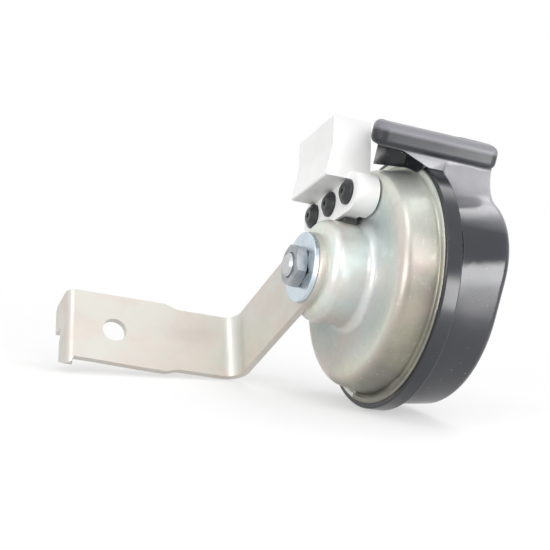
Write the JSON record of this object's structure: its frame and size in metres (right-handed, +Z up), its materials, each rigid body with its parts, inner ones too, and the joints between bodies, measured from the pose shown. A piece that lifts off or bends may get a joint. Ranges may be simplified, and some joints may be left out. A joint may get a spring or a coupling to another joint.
{
  "type": "car horn",
  "caption": "Snail trumpet car horn: round plated steel housing, angled mounting bracket, moulded spiral trumpet with a flared mouth, and a plug connector beside it.",
  "frame": {"origin": "centre of the bracket's mounting hole, on the arm's face that is seen in the picture", "axes": "+X along the horn's own axis from the stud to the front of the trumpet, +Z up through the trumpet's mouth, +Y away from the viewer of the picture"},
  "size_m": [0.1185, 0.1063, 0.1115],
  "materials": {
    "bracket_steel": "zinc plated cream silver, satin",
    "washer_steel": "bright zinc plate",
    "nut_steel": "grey plated steel",
    "core_steel": "grey plated steel",
    "housing_zinc": "iridescent passivated zinc plate",
    "bobbin_nylon": "natural nylon",
    "copper_wire": "enamelled copper wire",
    "armature_iron": "plated soft iron",
    "rod_steel": "grey plated steel",
    "collar_fibre": "red-brown fibre board",
    "spacer_steel": "grey plated steel",
    "diaphragm_steel": "thin spring steel, satin",
    "clamp_washer_steel": "grey plated steel",
    "gasket_paper": "dark gasket board",
    "ring_steel": "passivated zinc plate",
    "shell_black": "moulded plastic, glossy black",
    "connector_white": "white moulded plastic",
    "seal_rubber": "black rubber",
    "screw_dark": "dark gunmetal plate",
    "blade_tin": "tin plated",
    "base_phenolic": "dark brown moulding",
    "leaf_bronze": "spring bronze",
    "arm_brass": "stamped brass",
    "contact_tungsten": "ground tungsten",
    "small_nut_steel": "bright plated steel"
  },
  "bodies": {
    "horn": {"mounting_bracket": "bracket_steel", "flat_washer": "washer_steel", "mounting_nut": "nut_steel", "pole_core": "core_steel", "rear_housing": "housing_zinc", "coil_bobbin": "bobbin_nylon", "coil_winding": "copper_wire", "diaphragm": "diaphragm_steel", "housing_gasket": "gasket_paper", "diaphragm_gasket": "gasket_paper", "clamp_ring": "ring_steel", "shell_gasket": "gasket_paper", "trumpet_rear_shell": "shell_black", "trumpet_front_shell": "shell_black", "connector_body": "connector_white", "connector_gasket": "seal_rubber", "saddle_seal": "seal_rubber", "connector_screws": "screw_dark", "adjusting_screw": "screw_dark", "terminal_blade_near": "blade_tin", "terminal_blade_far": "blade_tin", "contact_base": "base_phenolic", "moving_contact_leaf": "leaf_bronze", "fixed_contact_arm": "arm_brass", "moving_contact": "contact_tungsten", "fixed_contact": "contact_tungsten", "contact_nuts": "small_nut_steel"},
    "armature_set": {"armature": "armature_iron", "armature_rod": "rod_steel", "armature_collar": "collar_fibre", "armature_spacer": "spacer_steel", "diaphragm_washer_rear": "clamp_washer_steel", "diaphragm_washer_front": "clamp_washer_steel"}
  },
  "joints": [
    {"name": "armature_slide", "type": "slide", "parent": "horn", "child": "armature_set", "axis": [-1, 0, 0], "range_m": [0, 0.0005], "stiffness_N_per_m": 200, "deforming": ["diaphragm", "moving_contact_leaf"]}
  ]
}
